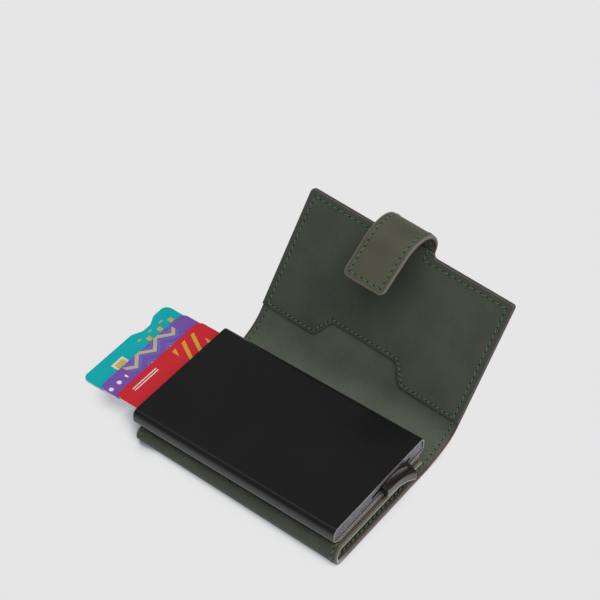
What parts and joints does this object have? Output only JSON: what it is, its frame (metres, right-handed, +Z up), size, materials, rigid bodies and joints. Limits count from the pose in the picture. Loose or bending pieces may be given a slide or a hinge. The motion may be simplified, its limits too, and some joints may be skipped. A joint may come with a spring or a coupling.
{
  "type": "pop up card holder",
  "caption": "Flat metal card cassette with a side lever that fans out cards, on a leather wrap with banknote fold, pocket flap and closing tab.",
  "frame": {"origin": "centre of the bounding box's footprint, on the table under the wrap's base", "axes": "+X from the banknote fold towards the flap, +Y from the lever end towards the card mouth, +Z up"},
  "size_m": [0.1158, 0.1412, 0.0807],
  "materials": {
    "outer_leather": "smooth matte, dark olive green",
    "lining_leather": "smooth matte, dark olive green",
    "patch_leather": "matte, light olive",
    "black_aluminium": "satin black anodised",
    "grey_plastic": "fine matte, mid grey",
    "black_plastic": "semi-gloss black",
    "steel": "plain",
    "felt": "felt",
    "card_red": "smooth",
    "card_purple": "smooth",
    "card_teal": "smooth"
  },
  "bodies": {
    "base": {"base_leather": "outer_leather", "base_lining": "lining_leather", "base_plate": "steel"},
    "cassette": {"cassette_shell": "black_aluminium", "end_cap": "grey_plastic", "ejector_pin": "steel", "felt_pad_upper": "felt", "felt_pad_lower": "felt", "seat_patch": "patch_leather", "seat_leather": "outer_leather", "seat_lining": "lining_leather"},
    "lever": {"lever": "black_plastic"},
    "ejector_arm": {"ejector_arm": "black_plastic"},
    "card_upper": {"card_upper": "card_red"},
    "card_middle": {"card_middle": "card_purple"},
    "card_lower": {"card_lower": "card_teal"},
    "spine": {"spine_leather": "outer_leather", "spine_lining": "lining_leather"},
    "flap": {"flap_leather": "outer_leather", "flap_lining": "lining_leather", "pocket_panel": "outer_leather", "tab_root_leather": "outer_leather", "tab_root_lining": "lining_leather"},
    "tab": {"tab_leather": "outer_leather", "tab_lining": "lining_leather"},
    "tab_end": {"tab_end_leather": "outer_leather", "tab_end_lining": "lining_leather", "tab_magnet": "steel"}
  },
  "joints": [
    {"name": "seat_fold", "type": "hinge", "parent": "base", "child": "cassette", "pos_m": [-0.05788, -0.06338, 0.00581], "axis": [0, -0.9998, 0.0195], "range_deg": [-1.5, 30]},
    {"name": "spine_fold", "type": "hinge", "parent": "base", "child": "spine", "pos_m": [0.00551, -0.06338, 0.002], "axis": [0, 1, 0], "range_deg": [-58, 8]},
    {"name": "flap_fold", "type": "hinge", "parent": "spine", "child": "flap", "pos_m": [0.02459, 0.01145, 0.01803], "axis": [0.0416, 0.9991, 0.0066], "range_deg": [-69.5, 5]},
    {"name": "tab_bend", "type": "hinge", "parent": "flap", "child": "tab", "pos_m": [0.05739, -0.01769, 0.07011], "axis": [0.0163, -0.998, -0.0611], "range_deg": [-12.51, 0.9]},
    {"name": "tab_end_fold", "type": "hinge", "parent": "tab", "child": "tab_end", "pos_m": [0.03557, -0.01721, 0.075], "axis": [-0.0163, 0.998, 0.0611], "range_deg": [-24, 6]},
    {"name": "ejector_turn", "type": "hinge", "parent": "cassette", "child": "ejector_arm", "pos_m": [-0.04598, -0.05318, 0.01272], "axis": [0, 0.0391, 0.9992], "range_deg": [-54, 0]},
    {"name": "lever_slide", "type": "slide", "parent": "cassette", "child": "lever", "axis": [1, 0, 0], "range_m": [-0.0051, 0]},
    {"name": "card_upper_slide", "type": "slide", "parent": "cassette", "child": "card_upper", "axis": [0, 0.9992, -0.0391], "range_m": [-0.0154, 0]},
    {"name": "card_middle_slide", "type": "slide", "parent": "cassette", "child": "card_middle", "axis": [0, 0.9992, -0.0391], "range_m": [-0.0247, 0]},
    {"name": "card_lower_slide", "type": "slide", "parent": "cassette", "child": "card_lower", "axis": [0, 0.9992, -0.0391], "range_m": [-0.0345, 0]}
  ],
  "couplings": [
    {"joint": "tab_bend", "follows": "flap_fold", "ratio": 0.18},
    {"joint": "lever_slide", "follows": "ejector_turn", "m_per_rad": 0.0053},
    {"joint": "card_upper_slide", "follows": "ejector_turn", "m_per_rad": 0.0162},
    {"joint": "card_middle_slide", "follows": "ejector_turn", "m_per_rad": 0.0261},
    {"joint": "card_lower_slide", "follows": "ejector_turn", "m_per_rad": 0.0365}
  ]
}
